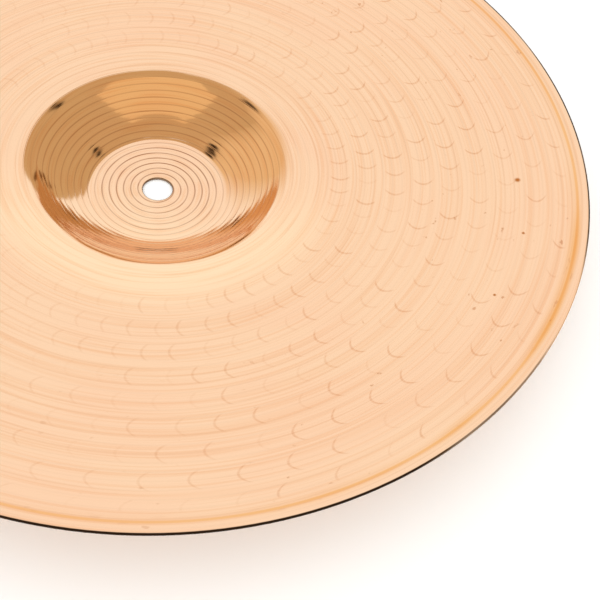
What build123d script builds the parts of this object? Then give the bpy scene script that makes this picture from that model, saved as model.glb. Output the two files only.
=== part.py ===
"""Crash cymbal, 14 inch, lying on its bell: one sheet of bronze, pressed, hammered and lathed.

The cymbal is a body of revolution about Z. Its concave side, the underside when it is played,
faces up. The origin is the centre of the crown's outer face, the lowest point of the bell.
Lengths are in millimetres and angles in degrees. The section is drawn as a designer would turn
it: smooth curves first, then the cuts, grooves and hammered rings that follow them.
"""
from build123d import *
from itertools import pairwise
import os

# Overall sizes
CYMBAL_DIAMETER = 355.6
HOLE_DIAMETER = 12.7
BOW_RISE = 16.0  # from the foot of the bow up to the rim, on the concave side

# The bell keeps one thickness, and the bow thins from it to the edge
BELL_THICKNESS = 1.25
EDGE_THICKNESS = 0.85
EDGE_CHAMFER = 0.2

# The concave side of the bell, from the hole outwards: a flat land, a faint dome,
# a knuckle, a wall that steepens, and a wide shoulder that turns back until the bow is nearly
# level
LAND_RADIUS = 24.0
DOME_CURVE, DOME_TURN = 60.0, 3.3
KNUCKLE_CURVE, KNUCKLE_TURN = 6.0, 16.7
WALL_CURVE, WALL_TURN = 59.0, 24.0
SHOULDER_CURVE, SHOULDER_TURN = 14.0, -40.5

# Tonal grooves around the hole, turned into the concave side of the land
GROOVE_PITCH = 3.03
GROOVE_WIDTH = 0.5
GROOVE_DEPTH = 0.1
GROOVE_COUNT = 5

# The lathe's cuts along the wall are one tonal groove apart, and those on the shoulder closer
WALL_CUTS = 8
SHOULDER_CUTS = 5

# Rings of hammer blows, which leave the concave side of the bow in shallow troughs
HAMMERED_RINGS = 11
TROUGH_DEPTH = 0.08
CONVEX_CUTS = 8


def joined(points):
    """Straight edges from point to point."""
    return [Line(start, end) for start, end in pairwise(points)]


def cuts(curve, count):
    """A smooth curve of the section as the straight cuts of a lathe tool."""
    return joined([curve @ (n / count) for n in range(count + 1)])


def grooved_land(height):
    """The flat ring around the hole, with a V-shaped tonal groove at every pitch."""
    points = [(HOLE_DIAMETER / 2, height)]
    for n in range(GROOVE_COUNT):
        middle = HOLE_DIAMETER / 2 + GROOVE_PITCH * (n + 1)
        points.append((middle - GROOVE_WIDTH / 2, height))
        points.append((middle, height - GROOVE_DEPTH))
        points.append((middle + GROOVE_WIDTH / 2, height))
    points.append((LAND_RADIUS, height))
    return joined(points)


def hammered(curve):
    """A smooth curve of the bow with one shallow trough along the middle of each hammered ring."""
    points = [curve @ 0]
    for n in range(HAMMERED_RINGS):
        along = curve % ((n + 0.5) / HAMMERED_RINGS)
        into_metal = Vector(along.Y, -along.X) * TROUGH_DEPTH
        points.append((curve @ ((n + 0.5) / HAMMERED_RINGS)) + into_metal)
        points.append(curve @ ((n + 1) / HAMMERED_RINGS))
    return joined(points)


def bell_curves(land_height, offset):
    """One side of the bell beyond its land, as tangent arcs that lie below the concave side by
    the offset."""
    dome = JernArc((LAND_RADIUS, land_height), (1, 0), DOME_CURVE + offset, DOME_TURN)
    knuckle = JernArc(dome @ 1, dome % 1, KNUCKLE_CURVE + offset, KNUCKLE_TURN)
    wall = JernArc(knuckle @ 1, knuckle % 1, WALL_CURVE + offset, WALL_TURN)
    shoulder = JernArc(wall @ 1, wall % 1, SHOULDER_CURVE - offset, SHOULDER_TURN)
    return dome, knuckle, wall, shoulder


def bow_curve(shoulder, rim_point):
    """One side of the bow: the single arc that leaves the shoulder smoothly and meets the rim."""
    return TangentArc(shoulder @ 1, rim_point, tangent=shoulder % 1)


def cross_section():
    """Half of the cymbal's section, a closed outline in the plane that holds the axis."""
    dome, knuckle, wall, shoulder = bell_curves(BELL_THICKNESS, 0)
    under_dome, under_knuckle, under_wall, under_shoulder = bell_curves(0, BELL_THICKNESS)

    rim_radius = CYMBAL_DIAMETER / 2
    rim_height = (shoulder @ 1).Y + BOW_RISE
    face_radius = rim_radius - EDGE_CHAMFER
    bow = bow_curve(shoulder, (face_radius, rim_height))
    under_bow = bow_curve(under_shoulder, (face_radius, rim_height - EDGE_THICKNESS))
    rim = [
        bow @ 1,
        (rim_radius, rim_height - EDGE_CHAMFER),
        (rim_radius, rim_height - EDGE_THICKNESS + EDGE_CHAMFER),
        under_bow @ 1,
    ]
    hole = [(LAND_RADIUS, 0), (HOLE_DIAMETER / 2, 0), (HOLE_DIAMETER / 2, BELL_THICKNESS)]

    concave = grooved_land(BELL_THICKNESS) + [dome, knuckle]
    concave += cuts(wall, WALL_CUTS) + cuts(shoulder, SHOULDER_CUTS) + hammered(bow)
    convex = [under_dome, under_knuckle] + cuts(under_wall, WALL_CUTS)
    convex += cuts(under_shoulder, SHOULDER_CUTS) + cuts(under_bow, CONVEX_CUTS)
    return make_face(concave + joined(rim) + convex + joined(hole))


def cymbal():
    """The whole cymbal: its section turned once about the axis."""
    return revolve(Plane.XZ * cross_section(), axis=Axis.Z)


os.makedirs("parts", exist_ok=True)
cymbal_solid = cymbal()
cymbal_solid.label = "cymbal"
export_step(cymbal_solid, "parts/cymbal.step")

box = cymbal_solid.bounding_box()
print(f"cymbal: {box.size.X:.2f} x {box.size.Y:.2f} x {box.size.Z:.2f} mm, {cymbal_solid.volume:.0f} mm3")
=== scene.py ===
"""Crash cymbal, 14 inch, lying on its bell: the looks of the one sheet of bronze.

The sheet is drawn again as the smith and the lathe leave it. Its section is a chain of tangent
arcs, one spiral tonal groove runs from the hole to the rim on both sides, and rings of hammer
blows dent the bow. Section lengths are in millimetres and angles in degrees, and the mesh is
scaled to metres as it is made.
"""

import math

import bmesh
import bpy
import numpy as np
from mathutils import Matrix, Vector


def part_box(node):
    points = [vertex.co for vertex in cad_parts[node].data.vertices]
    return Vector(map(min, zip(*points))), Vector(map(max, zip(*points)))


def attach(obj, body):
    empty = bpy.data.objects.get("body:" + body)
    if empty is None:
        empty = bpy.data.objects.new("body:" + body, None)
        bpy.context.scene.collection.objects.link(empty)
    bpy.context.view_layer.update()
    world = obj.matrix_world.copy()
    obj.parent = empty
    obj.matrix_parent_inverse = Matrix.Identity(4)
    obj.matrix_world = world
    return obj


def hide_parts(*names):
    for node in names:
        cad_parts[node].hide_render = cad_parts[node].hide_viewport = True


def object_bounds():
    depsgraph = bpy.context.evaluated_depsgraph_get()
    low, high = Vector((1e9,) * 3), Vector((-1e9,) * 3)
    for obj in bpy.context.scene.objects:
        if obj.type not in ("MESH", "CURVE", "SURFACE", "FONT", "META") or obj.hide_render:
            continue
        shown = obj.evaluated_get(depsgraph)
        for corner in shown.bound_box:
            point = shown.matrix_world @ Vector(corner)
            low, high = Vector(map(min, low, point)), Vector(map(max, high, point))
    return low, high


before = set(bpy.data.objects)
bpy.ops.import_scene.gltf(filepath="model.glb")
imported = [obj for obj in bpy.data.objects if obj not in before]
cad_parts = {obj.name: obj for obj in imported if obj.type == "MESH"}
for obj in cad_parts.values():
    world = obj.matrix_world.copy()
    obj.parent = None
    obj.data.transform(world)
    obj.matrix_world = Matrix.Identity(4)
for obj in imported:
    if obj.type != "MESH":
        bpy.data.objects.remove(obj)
cad_low, cad_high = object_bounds()
sheet_low, sheet_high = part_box("cymbal")

MM = 0.001

# Overall sizes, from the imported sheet
RIM_RADIUS = (sheet_high.x - sheet_low.x) / 2 / MM
RIM_HEIGHT = sheet_high.z / MM
HOLE_RADIUS = 6.35

# The bell keeps one thickness, and the bow thins from it to the edge
BELL_THICKNESS = 1.25
EDGE_THICKNESS = 0.85
EDGE_ROUNDING = 0.2
EDGE_BULGE = 0.11
HOLE_EASE = 0.15

# The concave side of the bell, from the hole outwards: a flat land, then arcs as radius and turn.
# They are a faint dome, a knuckle, a wall that steepens, and a wide shoulder down to the bow
LAND_RADIUS = 24.0
BELL_ARCS = ((60.0, 3.3), (6.0, 16.7), (59.0, 24.0), (14.0, -40.5))

# The spiral groove: its turns are closer on the bell than on the bow
BELL_PITCH = 3.03
BOW_PITCH = 3.87
GROOVE_START = 0.13  # turns from the hole to the first groove, along the +X axis
SCALLOP_DEPTH = 0.026
BOW_SCALLOP_DEPTH = 0.008
GROOVE_DEPTH = 0.012
UNCUT_AT_HOLE = 0.3
UNCUT_AT_RIM = 1.0

# Rows of the mesh across one turn of the spiral: the groove, its lip, the scallop, the next lip
GROOVE_LIP = 0.07
CONCAVE_ROWS = (0.0, GROOVE_LIP, 0.36, 0.64, 1 - GROOVE_LIP)
CONVEX_ROWS = (0.0, GROOVE_LIP, 1 - GROOVE_LIP)
COLUMNS = 228
EDGE_ROWS = 6

# Rings of hammer blows on the bow. Each ring starts a part of a blow after the one inside it
HAMMER_PITCH = 11.6
BLOWS_ROUND = 57
RING_SHIFT = 0.37
BLOW_WANDER = 0.15
BLOW_DEPTH = 0.03
PLAIN_AT_BELL = 6
PLAIN_EDGE = 10.0

# The crescent of each blow, partly its mark and partly painted shade at the edge of its dent, in
# shares of a blow: where it lies, how far it bends over a ring, and how far its place varies
CRESCENT_AT = 0.22
CRESCENT_BEND = 1.7
CRESCENT_VARIES = 0.3

# Colours of the metal. A tint multiplies the colour under it
BRONZE = "#EFC9A6"
WARM_BRONZE = "#EFC4A2"
# Painted sheen: brighter bronze on the bow beside the bell, on the near side only
SHEEN_BRONZE = "#F8DAB4"
TOOL_LINE_TINT = "#F2D2B2"
# The groove line: partly grime, partly painted shade in the groove
GROOVE_GRIME_AND_SHADE_TINT = "#8C5A2C"
# Hammer crescents: partly the mark of the blow, partly painted shade at the dents' edges
HAMMER_MARK_AND_SHADE_TINT = "#DDB898"
TARNISH_TINT = "#F7E0B4"
SPOT_TINT = "#C08A48"
# The dark edge colour: partly patina, partly painted dark reflection on the turned edge faces
EDGE_PATINA_AND_DARK_REFLECTION = "#2B1D12"

# How rough the metal is in its smoothest and its roughest tool lines, how much the patina adds,
# and how deep the lines are
SMOOTHEST = 0.06
ROUGHEST = 0.13
PATINA_ROUGHNESS = 0.3
TOOL_LINE_DEPTH = 0.006

# Brown spots, as distance from the axis, azimuth and radius
SPOTS = ((149.5, -0.5, 1.7), (152.5, -11.7, 0.9), (149.6, -25.1, 0.9))

# The studio: a room colour, then panels of light and three small dark patches. Each has a colour
# and strength, its azimuth from and to, its elevation from and to, and the softness of its borders
ROOM_COLOUR = "#D9BE93"
PANELS = (
    ("#FFFFFF", 1.15, (65, 139), (2, 80), 2),
    ("#F3D9B0", 1.05, (130, 176), (-4, 60), 26),
    ("#F3D6A6", 1.06, (-141, -25), (28, 73), 2),
    ("#32200F", 1.00, (146, 166), (57, 63), 3),
    ("#32200F", 1.00, (31, 44), (53, 57), 3),
    ("#7A5228", 1.00, (52, 60), (-4, 9), 2),
)
SWEEP_COLOUR = "#F7F7F7"
SWEEP_STRENGTH = 1.25
FLOOR_COLOUR = "#F4F4F2"
FLOOR_HALF_WIDTH = 10.0  # metres
FILL_STRENGTH = 1.2
FILL_ANGLE = 60
FILL_TILT = 55

# The camera: its lens and sensor, where it stands, from the middle of the rim's plane, and how
# it is turned
LENS = 72.0
SENSOR = 36.0
STAND = (30.8, -347.6, 350.7)
PAN = 6.21
TILT = 52.33
ROLL = 10.02


def run_along(start, heading, length, turn, step=0.05):
    """Points of one run of the section: its length, position and heading, without its start."""
    count = max(2, math.ceil(length / step))
    part = np.linspace(0, 1, count + 1)[1:]
    headings = heading + turn * part
    if turn == 0:
        across = length * part * math.cos(heading)
        up = length * part * math.sin(heading)
    else:
        curve = length / turn
        across = curve * (np.sin(headings) - math.sin(heading))
        up = curve * (math.cos(heading) - np.cos(headings))
    return length * part, start[0] + across, start[1] + up, headings


def concave_section():
    """The concave side from the hole to the rim: distance along it, radius, height, heading, and
    the distance at which the bow starts."""
    along = [np.array([0.0])]
    radius = [np.array([HOLE_RADIUS + HOLE_EASE])]
    height = [np.array([BELL_THICKNESS])]
    heading = [np.array([0.0])]

    def add_run(length, turn):
        start = (radius[-1][-1], height[-1][-1])
        run, across, up, headings = run_along(start, heading[-1][-1], length, turn)
        along.append(along[-1][-1] + run)
        radius.append(across)
        height.append(up)
        heading.append(headings)

    add_run(LAND_RADIUS - HOLE_RADIUS - HOLE_EASE, 0.0)
    for curve, turn in BELL_ARCS:
        add_run(curve * math.radians(abs(turn)), math.radians(turn))
    bow_start = along[-1][-1]

    face_radius = RIM_RADIUS - EDGE_ROUNDING
    run = face_radius - radius[-1][-1]
    rise = RIM_HEIGHT - height[-1][-1]
    half_turn = math.atan2(rise, run) - heading[-1][-1]
    length = math.hypot(run, rise) * half_turn / math.sin(half_turn)
    add_run(length, 2 * half_turn)
    section = [np.concatenate(part) for part in (along, radius, height, heading)]
    return section + [bow_start]


ALONG, RADIUS, HEIGHT, HEADING, BOW_START = concave_section()
RIM_ALONG = ALONG[-1]
BELL_TURNS = BOW_START / BELL_PITCH


def distance_at(turns):
    """Distance along the section of a number of turns of the spiral, at the +X axis."""
    on_bell = turns * BELL_PITCH
    on_bow = BOW_START + (turns - BELL_TURNS) * BOW_PITCH
    return np.clip(np.where(turns < BELL_TURNS, on_bell, on_bow), 0, RIM_ALONG)


def blow_dent(along, azimuth):
    """How deep the hammer leaves the bow, as a share of a full blow."""
    rings = (along - BOW_START) / HAMMER_PITCH
    ring = np.floor(rings)
    across = rings - ring - 0.5
    wander = BLOW_WANDER * np.sin(7 * azimuth + 2.4 * ring)
    blows = azimuth / math.tau * BLOWS_ROUND + RING_SHIFT * ring + wander
    round_it = blows - np.floor(blows) - 0.5
    bowl = np.clip(1 - (across / 0.5) ** 2 - (round_it / 0.5) ** 2, 0, 1)
    on_bow = np.clip((along - BOW_START - PLAIN_AT_BELL) / 4, 0, 1)
    off_edge = np.clip((RIM_ALONG - PLAIN_EDGE - along) / 2, 0, 1)
    return bowl * on_bow * off_edge


def thickness_at(along):
    """Thickness of the sheet: even over the bell, then thinning ever faster to the edge."""
    share = np.clip((along - BOW_START) / (RIM_ALONG - BOW_START), 0, 1)
    return BELL_THICKNESS - (BELL_THICKNESS - EDGE_THICKNESS) * share ** 2


def place(along, azimuth, below):
    """Points of the sheet, in metres: a distance along the section, an azimuth, and how far they
    lie below the concave side, square to it."""
    radius = np.interp(along, ALONG, RADIUS)
    height = np.interp(along, ALONG, HEIGHT)
    heading = np.interp(along, ALONG, HEADING)
    radius = radius + below * np.sin(heading)
    height = height - below * np.cos(heading)
    return np.stack([radius * np.cos(azimuth), radius * np.sin(azimuth), height], -1) * MM


def cut_at(along, share):
    """How deep the lathe has cut: the groove at share 0, and the scallop between its lips."""
    scallop = np.where(along < BOW_START, SCALLOP_DEPTH, BOW_SCALLOP_DEPTH)
    between = np.clip((share - GROOVE_LIP) / (1 - 2 * GROOVE_LIP), 0, 1)
    depth = np.where(share == 0, GROOVE_DEPTH, 4 * scallop * between * (1 - between))
    from_hole = np.clip(along / UNCUT_AT_HOLE, 0, 1)
    from_rim = np.clip((RIM_ALONG - UNCUT_AT_RIM - along) / 2, 0, 1)
    return depth * from_hole * from_rim


def rounded(share):
    """A profile that bulges by one between its ends."""
    return np.sqrt(np.clip(1 - (2 * share - 1) ** 2, 0, 1))


class Sheet:
    """Gathers the patches of the sheet: their points, faces, and what each point knows."""

    def __init__(self):
        self.points = []
        self.faces = []
        self.along = []
        self.share = []
        self.count = 0

    def add_patch(self, points, along, share, outward):
        """A grid of points, rows from the hole outwards or from above down, columns round."""
        rows, columns = along.shape
        index = self.count + np.arange(rows * columns).reshape(rows, columns)
        corners = [index[:-1, :-1], index[1:, :-1], index[1:, 1:], index[:-1, 1:]]
        if not outward:
            corners.reverse()
        faces = np.stack([corner.ravel() for corner in corners], -1)
        flat = points.reshape(-1, 3)
        spread = np.ptp(np.ravel(along)[faces - self.count], axis=1)
        self.faces.append(faces[spread > 1e-6])
        self.points.append(flat)
        self.along.append(np.ravel(along))
        self.share.append(np.ravel(np.broadcast_to(share, along.shape)))
        self.count += len(flat)


def lathed_side(sheet, shares, concave):
    """One side of the sheet. Its rows follow the spiral, and the hole and the rim cut them off."""
    last = math.ceil(BELL_TURNS + (RIM_ALONG - BOW_START) / BOW_PITCH) + 2
    share = np.tile(shares, last + 1)[:, None]
    turn = np.repeat(np.arange(-1, last), len(shares))[:, None]
    column = np.arange(COLUMNS + 1) / COLUMNS
    along = distance_at(turn + share + GROOVE_START - column)
    azimuth = np.broadcast_to(math.tau * column, along.shape)
    cut = cut_at(along, share) + BLOW_DEPTH * blow_dent(along, azimuth)
    below = cut if concave else thickness_at(along) - cut
    sheet.add_patch(place(along, azimuth, below), along, share, concave)


def edge(sheet, at, bulge, outward):
    """The turned face at the rim or the hole, from the concave side down to the convex side."""
    drop = (1 - np.cos(math.pi * np.arange(EDGE_ROWS + 1) / EDGE_ROWS))[:, None] / 2
    column = np.arange(COLUMNS + 1)[None, :] / COLUMNS
    azimuth = np.broadcast_to(math.tau * column, (EDGE_ROWS + 1, COLUMNS + 1))
    along = np.full(azimuth.shape, at)
    points = place(along, azimuth, drop * thickness_at(at))
    radial = np.stack([np.cos(azimuth), np.sin(azimuth), np.zeros(azimuth.shape)], -1)
    points = points + radial * rounded(drop)[..., None] * bulge * MM
    beyond = at + np.where(outward, 1, -1) * rounded(drop) - 1e-3 * drop
    sheet.add_patch(points, np.broadcast_to(beyond, azimuth.shape), 0.5, outward)


def bronze_sheet():
    """The whole sheet as one closed mesh."""
    sheet = Sheet()
    lathed_side(sheet, CONCAVE_ROWS, True)
    lathed_side(sheet, CONVEX_ROWS, False)
    edge(sheet, RIM_ALONG, EDGE_BULGE, True)
    edge(sheet, 0.0, -HOLE_EASE, False)

    mesh = bpy.data.meshes.new("crash_cymbal_bronze")
    mesh.from_pydata(np.concatenate(sheet.points), [], np.concatenate(sheet.faces))
    for name, values in (("along", sheet.along), ("share", sheet.share)):
        mesh.attributes.new(name, "FLOAT", "POINT").data.foreach_set("value", np.concatenate(values))

    shape = bmesh.new()
    shape.from_mesh(mesh)
    bmesh.ops.remove_doubles(shape, verts=shape.verts, dist=1e-6)
    loose = [vertex for vertex in shape.verts if not vertex.link_faces]
    bmesh.ops.delete(shape, geom=loose, context="VERTS")
    share = shape.verts.layers.float["share"]
    lips = (0.0, GROOVE_LIP, 1 - GROOVE_LIP)
    for line in shape.edges:
        ends = [vertex[share] for vertex in line.verts]
        on_lip = any(abs(ends[0] - lip) < 1e-4 for lip in lips)
        line.smooth = not (on_lip and abs(ends[0] - ends[1]) < 1e-4)
    for face in shape.faces:
        face.smooth = True
    shape.to_mesh(mesh)
    shape.free()

    piece = bpy.data.objects.new("crash_cymbal_bronze", mesh)
    bpy.context.scene.collection.objects.link(piece)
    return piece


def linear(colour):
    """A linear colour from an sRGB hex value."""
    shares = [int(colour[i:i + 2], 16) / 255 for i in (1, 3, 5)]
    return [s / 12.92 if s <= 0.04045 else ((s + 0.055) / 1.055) ** 2.4 for s in shares] + [1.0]


def add(tree, kind, inputs=(), **settings):
    """Adds a node with its settings and its inputs, in their order or by name: each is a value, or
    a socket to link. It gives the node's outputs."""
    node = tree.nodes.new("ShaderNode" + kind)
    for name, value in settings.items():
        setattr(node, name, value)
    named = inputs if isinstance(inputs, dict) else dict(enumerate(inputs))
    for name, source in named.items():
        if isinstance(source, bpy.types.NodeSocket):
            tree.links.new(source, node.inputs[name])
        else:
            node.inputs[name].default_value = source
    return node.outputs


def shown(tree, *fades):
    """How far a mark shows: its fades multiplied. A fade is a share, or a value with where its
    soft step begins and ends, and the shares before and after the step if not 0 and 1."""
    result = None
    for fade in fades:
        if isinstance(fade, tuple):
            step = fade if len(fade) == 5 else fade + (0.0, 1.0)
            fade = add(tree, "MapRange", step, interpolation_type="SMOOTHSTEP")[0]
        if result is None:
            result = fade
        else:
            result = add(tree, "Math", (result, fade), operation="MULTIPLY")[0]
    return result


def from_middle(tree, cells):
    """How far a place is from the middle of its cell, from minus to plus a half."""
    part = add(tree, "Math", (cells,), operation="FRACT")[0]
    return add(tree, "Math", (part, 0.5), operation="SUBTRACT")[0]


def lathe_grain(tree, along, azimuth, across, round_count, detail=2.0):
    """Grain drawn out along the lathe's circles: its size across them in millimetres, and how many
    grains there are round the sheet. It has no seam."""
    lobes = round_count / math.tau
    cosine = add(tree, "Math", (azimuth,), operation="COSINE")[0]
    sine = add(tree, "Math", (azimuth,), operation="SINE")[0]
    place_x = add(tree, "Math", (cosine, lobes), operation="MULTIPLY")[0]
    place_y = add(tree, "Math", (sine, lobes), operation="MULTIPLY")[0]
    place_z = add(tree, "Math", (along, across), operation="DIVIDE")[0]
    spot = add(tree, "CombineXYZ", (place_x, place_y, place_z))[0]
    return add(tree, "TexNoise", {"Vector": spot, "Scale": 1.0, "Detail": detail})["Fac"]


def lathed_bronze():
    """Cymbal bronze, hammered and lathed: bright peach metal with a painted sheen by the bell, a
    spiral line of grime and painted shade in the tonal groove, fine broken tool lines, faint
    crescents where the hammer struck that are partly painted shade, ochre tarnish near the rim
    and a dark worn edge of patina and painted dark reflection."""
    material = bpy.data.materials.new("hammered_and_lathed_bell_bronze")
    material.use_nodes = True
    tree = material.node_tree
    tree.nodes.clear()

    along = add(tree, "Attribute", attribute_name="along")["Fac"]
    place_on = add(tree, "TexCoord")["Object"]
    x, y = add(tree, "SeparateXYZ", (place_on,))[:2]
    flat = add(tree, "CombineXYZ", (x, y, 0.0))[0]
    radius = add(tree, "VectorMath", (flat,), operation="LENGTH")["Value"]
    radius = add(tree, "Math", (radius, MM), operation="DIVIDE")[0]
    azimuth = add(tree, "Math", (y, x), operation="ARCTAN2")[0]
    turn = add(tree, "Math", (azimuth, math.tau), operation="DIVIDE")[0]
    past_bell = add(tree, "Math", (along, BOW_START), operation="SUBTRACT")[0]
    on_bow = add(tree, "Math", (past_bell, 0.0), operation="MAXIMUM")[0]
    from_rim = add(tree, "Math", (RIM_ALONG, along), operation="SUBTRACT")[0]

    # What lies on the bare bronze, in order: how far it shows, its colour, and how it blends
    coats = []

    # Blotches of warmer metal, and a painted sheen: a brighter ring round the bell on the near side
    blotch = lathe_grain(tree, along, azimuth, 28.0, 11.0, 3.0)
    coats.append((shown(tree, (blotch, 0.42, 0.62, 0.0, 0.5)), WARM_BRONZE, "MIX"))
    # Painted sheen: brighter bronze next to the bell, shown only on the near (-Y) side
    near_bell_sheen = shown(tree, (on_bow, 26.0, 2.0), (y, 0.01, -0.05), 0.7)
    coats.append((near_bell_sheen, SHEEN_BRONZE, "MIX"))

    # Fine tool lines, broken along their run, and drawn coarser than the 0.2 mm of real ones
    fine = lathe_grain(tree, along, azimuth, 0.9, 9.0)
    broad = lathe_grain(tree, along, azimuth, 3.4, 5.0)
    coats.append((shown(tree, (fine, 0.45, 0.7, 0.0, 0.3)), TOOL_LINE_TINT, "MULTIPLY"))
    coats.append((shown(tree, (broad, 0.5, 0.7, 0.0, 0.15)), TOOL_LINE_TINT, "MULTIPLY"))

    # Grime and painted shade in the spiral groove: strong in the bell, faint on the bow, and darker
    # on its far side, which is painted shade
    on_bell = add(tree, "Math", (along, BOW_START), operation="MINIMUM")[0]
    bell_turns = add(tree, "Math", (on_bell, BELL_PITCH), operation="DIVIDE")[0]
    bow_turns = add(tree, "Math", (on_bow, BOW_PITCH), operation="DIVIDE")[0]
    turns = add(tree, "Math", (bell_turns, bow_turns), operation="ADD")[0]
    turns = add(tree, "Math", (turns, turn), operation="ADD")[0]
    turns = add(tree, "Math", (turns, GROOVE_START), operation="SUBTRACT")[0]
    half_on = add(tree, "Math", (turns, 0.5), operation="ADD")[0]
    off_line = add(tree, "Math", (from_middle(tree, half_on),), operation="ABSOLUTE")[0]
    off_line = add(tree, "Math", (off_line, BELL_PITCH), operation="MULTIPLY")[0]
    worn = shown(tree, (fine, 0.25, 0.6, 0.6, 1.0))
    crown = LAND_RADIUS - HOLE_RADIUS
    # Partly grime, partly painted shade in the groove; the extra darkness on the far (+Y) side is
    # painted shade
    groove_grime_and_shade = shown(tree, (off_line, 0.42, 0.12), (past_bell, -4.0, -12.0, 0.10, 0.42),
                  (along, crown + 3, crown, 0.9, 2.0), (y, -0.03, 0.025, 0.45, 0.95), worn)
    coats.append((groove_grime_and_shade, GROOVE_GRIME_AND_SHADE_TINT, "MULTIPLY"))

    # Hammer marks: one short crescent in every cell of a ring of blows, each of its own strength.
    # Each crescent is partly the mark of the blow and partly painted shade at the edge of its dent
    rings = add(tree, "Math", (on_bow, HAMMER_PITCH), operation="DIVIDE")[0]
    ring = add(tree, "Math", (rings,), operation="FLOOR")[0]
    across = from_middle(tree, rings)
    blows = add(tree, "Math", (turn, BLOWS_ROUND), operation="MULTIPLY")[0]
    shift = add(tree, "Math", (ring, RING_SHIFT), operation="MULTIPLY")[0]
    blows = add(tree, "Math", (blows, shift), operation="ADD")[0]
    blow = add(tree, "Math", (blows,), operation="FLOOR")[0]
    cell = add(tree, "CombineXYZ", (ring, blow, 0.0))[0]
    luck = add(tree, "TexWhiteNoise", (cell,), noise_dimensions="2D")["Value"]
    bend = add(tree, "Math", (across, across), operation="MULTIPLY")[0]
    bend = add(tree, "Math", (bend, CRESCENT_BEND), operation="MULTIPLY")[0]
    vary = add(tree, "Math", (luck, 0.5), operation="SUBTRACT")[0]
    vary = add(tree, "Math", (vary, CRESCENT_VARIES), operation="MULTIPLY")[0]
    off_mark = add(tree, "Math", (from_middle(tree, blows), CRESCENT_AT), operation="ADD")[0]
    off_mark = add(tree, "Math", (off_mark, bend), operation="SUBTRACT")[0]
    off_mark = add(tree, "Math", (off_mark, vary), operation="ADD")[0]
    off_mark = add(tree, "Math", (off_mark,), operation="ABSOLUTE")[0]
    off_mark = add(tree, "Math", (off_mark, radius), operation="MULTIPLY")[0]
    off_mark = add(tree, "Math", (off_mark, math.tau / BLOWS_ROUND), operation="MULTIPLY")[0]
    off_ring = add(tree, "Math", (across,), operation="ABSOLUTE")[0]
    hammered = shown(tree, (on_bow, 9.0, 16.0), (from_rim, PLAIN_EDGE - 2, PLAIN_EDGE))
    # Crescents: partly hammer mark, partly painted shade where each dent's edge turns
    struck_and_shaded = shown(tree, (off_mark, 0.75, 0.15), (off_ring, 0.40, 0.26), hammered,
                   (luck, 0.1, 0.9, 0.3, 1.0), (x, -0.04, 0.10, 0.4, 1.0), worn, 0.46)
    coats.append((struck_and_shaded, HAMMER_MARK_AND_SHADE_TINT, "MULTIPLY"))

    # Ochre tarnish in a soft band a few millimetres inside the rim, heavier on the +X side, with
    # orange specks in it and a thin line along its outer side
    patch = lathe_grain(tree, along, azimuth, 40.0, 12.0)
    specks = lathe_grain(tree, along, azimuth, 2.0, 150.0, 4.0)
    band = shown(tree, (from_rim, 2.4, 4.2), (from_rim, 9.0, 4.6), (patch, 0.42, 0.6, 0.15, 1.0),
                 (x, 0.02, 0.14, 0.15, 1.0))
    coats.append((band, TARNISH_TINT, "MULTIPLY"))
    rusty = shown(tree, band, (specks, 0.6, 0.7), (patch, 0.45, 0.6), 0.7)
    coats.append((rusty, SPOT_TINT, "MULTIPLY"))
    thin_line = shown(tree, (from_rim, 3.9, 4.5), (from_rim, 5.6, 5.0), 0.8)
    coats.append((thin_line, TARNISH_TINT, "MULTIPLY"))

    # Flecks of tarnish and short scratches scattered over the bow, more on the +X side
    scatter = lathe_grain(tree, along, azimuth, 3.2, 190.0, 3.0)
    flecks = shown(tree, (scatter, 0.69, 0.76), (on_bow, 40.0, 60.0), (x, -0.05, 0.12, 0.3, 1.0), 0.5)
    coats.append((flecks, SPOT_TINT, "MULTIPLY"))

    # Brown spots
    for away, degrees, size in SPOTS:
        heading = math.radians(degrees)
        centre = (away * math.cos(heading) * MM, away * math.sin(heading) * MM, 0.0)
        reach = add(tree, "VectorMath", (flat, centre), operation="DISTANCE")["Value"]
        coats.append((shown(tree, (reach, size * MM, 0.2 * size * MM)), SPOT_TINT, "MULTIPLY"))

    # The dark edge on the turned faces of the rim and the hole, worn off in places: partly patina,
    # partly painted dark reflection
    wear = lathe_grain(tree, along, azimuth, 40.0, 9.0)
    at_rim = shown(tree, (from_rim, 0.7, 0.3), (wear, 0.34, 0.5))
    at_hole = shown(tree, (along, 0.35, 0.0, 0.0, 0.7))
    # Patina and painted dark reflection on the rim and hole faces
    patina_and_dark_reflection = add(tree, "Math", (at_rim, at_hole), operation="MAXIMUM")[0]
    coats.append((patina_and_dark_reflection, EDGE_PATINA_AND_DARK_REFLECTION, "MIX"))

    colour = linear(BRONZE)
    for share, coat, blend in coats:
        colour = add(tree, "Mix", {0: share, 6: colour, 7: linear(coat)},
                     data_type="RGBA", blend_type=blend)[2]
    lines = shown(tree, (fine, 0.3, 0.7, SMOOTHEST, ROUGHEST))
    rough_patina = add(tree, "Math", (patina_and_dark_reflection, PATINA_ROUGHNESS), operation="MULTIPLY")[0]
    roughness = add(tree, "Math", (lines, rough_patina), operation="ADD")[0]

    # The tool lines' relief streaks the reflections along the circles
    streaks = lathe_grain(tree, along, azimuth, 0.8, 14.0, 3.0)
    relief = {"Strength": 1.0, "Distance": TOOL_LINE_DEPTH * MM, "Height": streaks}
    normal = add(tree, "Bump", relief)["Normal"]
    metal = {"Base Color": colour, "Metallic": 1.0, "Roughness": roughness, "Normal": normal}
    surface = add(tree, "BsdfPrincipled", metal)["BSDF"]
    add(tree, "OutputMaterial", {"Surface": surface})
    return material


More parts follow.
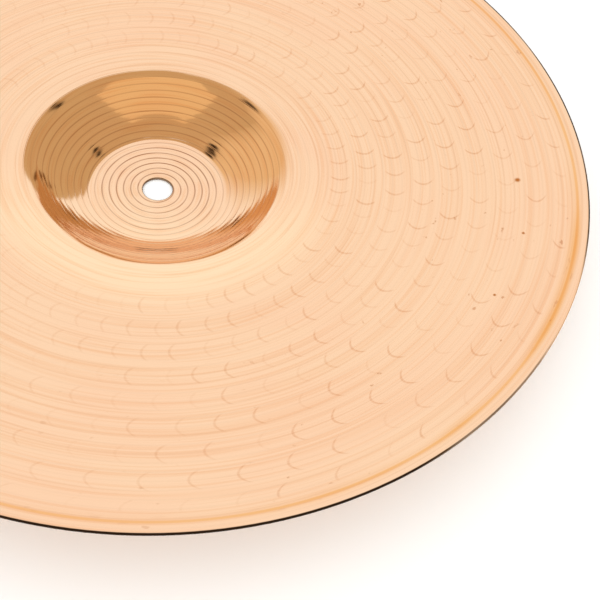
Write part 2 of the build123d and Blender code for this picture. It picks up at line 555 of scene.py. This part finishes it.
def studio():
    """Plain studio light: a tall white sweep behind, a warm ceiling in front, and dimmer walls.
    What the camera sees of it, and what lights the matt floor, is one pale colour."""
    world = bpy.data.worlds.new("studio")
    bpy.context.scene.world = world
    world.use_nodes = True
    tree = world.node_tree
    tree.nodes.clear()
    direction = add(tree, "TexCoord")["Generated"]
    x, y, z = add(tree, "SeparateXYZ", (direction,))[:3]
    azimuth = add(tree, "Math", (y, x), operation="ARCTAN2")[0]
    azimuth = add(tree, "Math", (azimuth, 180 / math.pi), operation="MULTIPLY")[0]
    elevation = add(tree, "Math", (z,), operation="ARCSINE")[0]
    elevation = add(tree, "Math", (elevation, 180 / math.pi), operation="MULTIPLY")[0]
    room = linear(ROOM_COLOUR)
    for colour, strength, sides, heights, softness in PANELS:
        soft = softness / 2
        steps = []
        for angle, (start, end) in ((azimuth, sides), (elevation, heights)):
            steps += [(angle, start - soft, start + soft), (angle, end + soft, end - soft)]
        glow = [share * strength for share in linear(colour)]
        room = add(tree, "Mix", {0: shown(tree, *steps), 6: room, 7: glow}, data_type="RGBA")[2]
    path = add(tree, "LightPath")
    plain = add(tree, "Math", (path["Is Camera Ray"], path["Is Diffuse Ray"]), operation="MAXIMUM")[0]
    walls = add(tree, "Background", (room, 1.0))[0]
    sweep = add(tree, "Background", (linear(SWEEP_COLOUR), SWEEP_STRENGTH))[0]
    light = add(tree, "MixShader", (plain, walls, sweep))[0]
    add(tree, "OutputWorld", {"Surface": light})


def floor():
    """A plain pale floor under the bell."""
    half = FLOOR_HALF_WIDTH
    z = cad_low.z
    mesh = bpy.data.meshes.new("floor")
    corners = [(-half, -half, z), (half, -half, z), (half, half, z), (-half, half, z)]
    mesh.from_pydata(corners, [], [(0, 1, 2, 3)])
    piece = bpy.data.objects.new("floor", mesh)
    bpy.context.scene.collection.objects.link(piece)
    material = bpy.data.materials.new("matt_white_sweep")
    material.use_nodes = True
    shader = material.node_tree.nodes["Principled BSDF"]
    shader.inputs["Base Color"].default_value = linear(FLOOR_COLOUR)
    shader.inputs["Roughness"].default_value = 0.9
    shader.inputs["Specular IOR Level"].default_value = 0.1
    mesh.materials.append(material)


def fill_light():
    """A very soft light for the floor, from the camera's side."""
    light = bpy.data.lights.new("floor_fill", "SUN")
    light.energy = FILL_STRENGTH
    light.angle = math.radians(FILL_ANGLE)
    lamp = bpy.data.objects.new("floor_fill", light)
    lamp.rotation_euler = (math.radians(FILL_TILT), 0, 0)
    lamp.visible_glossy = False
    bpy.context.scene.collection.objects.link(lamp)


def camera():
    """The camera looks down into the bell from the front, a little from the right."""
    data = bpy.data.cameras.new("camera")
    data.lens = LENS
    data.sensor_width = SENSOR
    seat = bpy.data.objects.new("camera", data)
    pan = Matrix.Rotation(math.radians(-PAN), 4, "Z")
    tilt = Matrix.Rotation(math.radians(90 - TILT), 4, "X")
    roll = Matrix.Rotation(math.radians(ROLL), 4, "Z")
    middle = (cad_low + cad_high) / 2
    stand = Vector((middle.x, middle.y, cad_high.z)) + Vector(STAND) * MM
    seat.matrix_world = Matrix.Translation(stand) @ (pan @ tilt @ roll)
    bpy.context.scene.collection.objects.link(seat)
    bpy.context.scene.camera = seat


camera()
floor()
studio()
fill_light()
bpy.context.scene.view_settings.view_transform = "Standard"

cymbal = bronze_sheet()
cymbal.data.materials.append(lathed_bronze())
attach(cymbal, "root")
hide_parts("cymbal")
